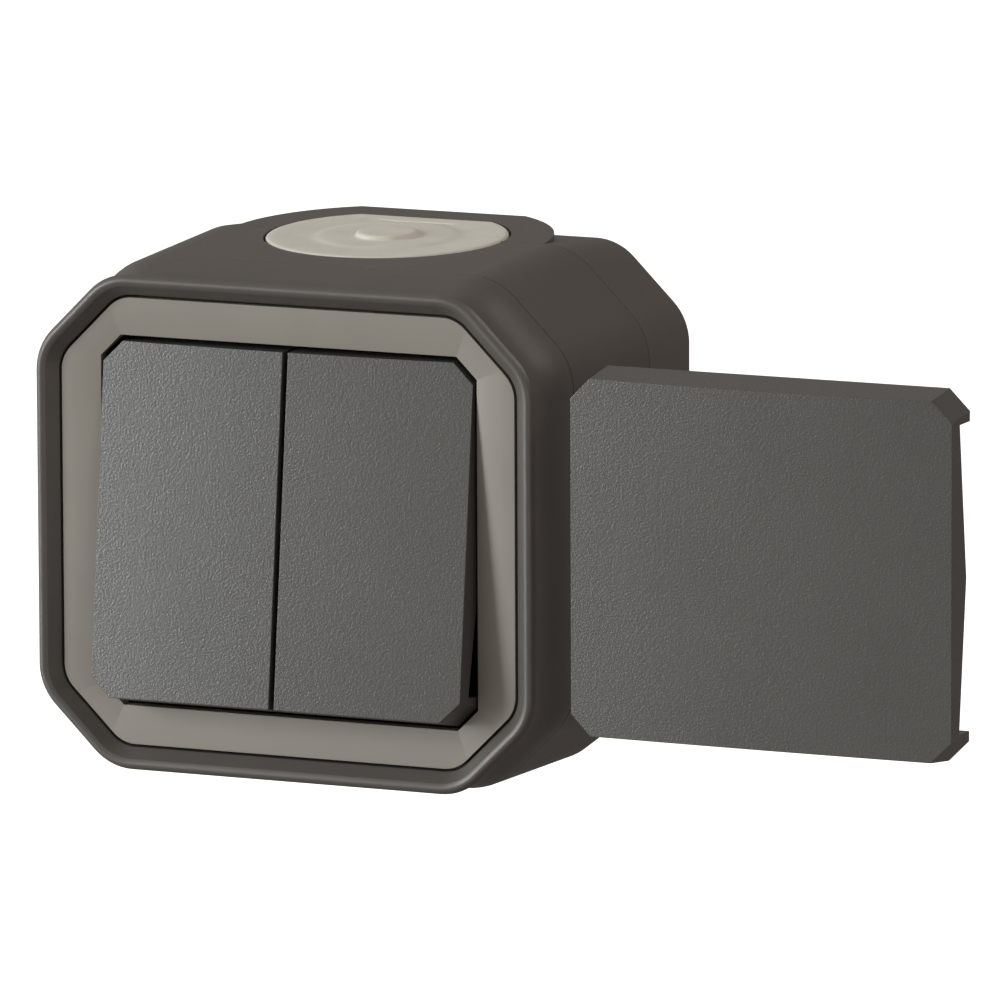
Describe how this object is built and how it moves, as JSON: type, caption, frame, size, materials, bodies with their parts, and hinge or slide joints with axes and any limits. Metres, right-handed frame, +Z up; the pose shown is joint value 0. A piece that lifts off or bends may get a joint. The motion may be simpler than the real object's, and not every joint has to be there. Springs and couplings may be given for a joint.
{
  "type": "rocker wall switch",
  "caption": "Surface-mounted weatherproof wall switch with two side-by-side rockers, an octagonal bezel ring, a cable membrane on top and a loose one-piece rocker plate.",
  "frame": {"origin": "centre of the face that lies on the wall", "axes": "+Y into the wall, -Y towards the user, +X to the user's right, +Z up"},
  "size_m": [0.1421, 0.0614, 0.0759],
  "materials": {
    "anthracite_plastic": "fine satin grain",
    "warm_grey_plastic": "satin",
    "rocker_plastic": "fine moulded grain",
    "pale_grey_rubber": "matt",
    "black_rubber": "matt",
    "zinc_steel": "zinc plated",
    "insulating_plastic": "satin",
    "acetal_plastic": "smooth",
    "contact_brass": "bright",
    "contact_silver": "bright"
  },
  "bodies": {
    "switch_body": {"wall_base": "anthracite_plastic", "housing_body": "anthracite_plastic", "front_cover": "anthracite_plastic", "bezel_ring": "warm_grey_plastic", "top_cable_membrane": "pale_grey_rubber", "base_gasket": "black_rubber", "cover_gasket": "black_rubber", "wall_hole_seals": "black_rubber", "actuator_seal": "black_rubber", "housing_screws": "zinc_steel", "yoke_screws": "zinc_steel", "mounting_yoke": "zinc_steel", "pivot_pin": "zinc_steel", "loop_screw": "zinc_steel", "mechanism_base": "insulating_plastic", "mechanism_cover": "insulating_plastic", "terminal_cages": "contact_brass", "common_terminals": "contact_brass", "upper_contacts": "contact_brass", "lower_contacts": "contact_brass", "loop_terminal": "contact_brass", "mechanism_rivets": "contact_brass", "fixed_contact_tips": "contact_silver"},
    "rocker_left": {"rocker_left": "rocker_plastic", "carrier_left": "insulating_plastic", "plunger_spring_left": "zinc_steel"},
    "plunger_left": {"plunger_left": "acetal_plastic"},
    "contact_left": {"contact_blade_left": "contact_brass", "blade_tips_left": "contact_silver"},
    "rocker_right": {"rocker_right": "rocker_plastic", "carrier_right": "insulating_plastic", "plunger_spring_right": "zinc_steel"},
    "plunger_right": {"plunger_right": "acetal_plastic"},
    "contact_right": {"contact_blade_right": "contact_brass", "blade_tips_right": "contact_silver"},
    "spare_rocker": {"spare_single_rocker": "rocker_plastic"}
  },
  "joints": [
    {"name": "rocker_left_tilt", "type": "hinge", "parent": "switch_body", "child": "rocker_left", "pos_m": [-0.0103, -0.0524, 0], "axis": [1, 0, 0], "range_deg": [0, 13]},
    {"name": "plunger_left_slide", "type": "slide", "parent": "rocker_left", "child": "plunger_left", "axis": [0, -0.9936, 0.1132], "range_m": [0, 0.0006], "stiffness_N_per_m": 100, "springref_m": -0.001, "deforming": ["plunger_spring_left"]},
    {"name": "contact_left_rock", "type": "hinge", "parent": "switch_body", "child": "contact_left", "pos_m": [-0.0103, -0.0299, 0], "axis": [1, 0, 0], "range_deg": [-13, 0]},
    {"name": "rocker_right_tilt", "type": "hinge", "parent": "switch_body", "child": "rocker_right", "pos_m": [0.0103, -0.0524, 0], "axis": [1, 0, 0], "range_deg": [0, 13]},
    {"name": "plunger_right_slide", "type": "slide", "parent": "rocker_right", "child": "plunger_right", "axis": [0, -0.9936, 0.1132], "range_m": [0, 0.0006], "stiffness_N_per_m": 100, "springref_m": -0.001, "deforming": ["plunger_spring_right"]},
    {"name": "contact_right_rock", "type": "hinge", "parent": "switch_body", "child": "contact_right", "pos_m": [0.0103, -0.0299, 0], "axis": [1, 0, 0], "range_deg": [-13, 0]},
    {"name": "spare_rocker_aside", "type": "slide", "parent": "switch_body", "child": "spare_rocker", "axis": [1, 0, 0], "range_m": [0, 0.05]}
  ],
  "couplings": [
    {"joint": "contact_left_rock", "follows": "rocker_left_tilt", "ratio": -1},
    {"joint": "contact_right_rock", "follows": "rocker_right_tilt", "ratio": -1}
  ]
}
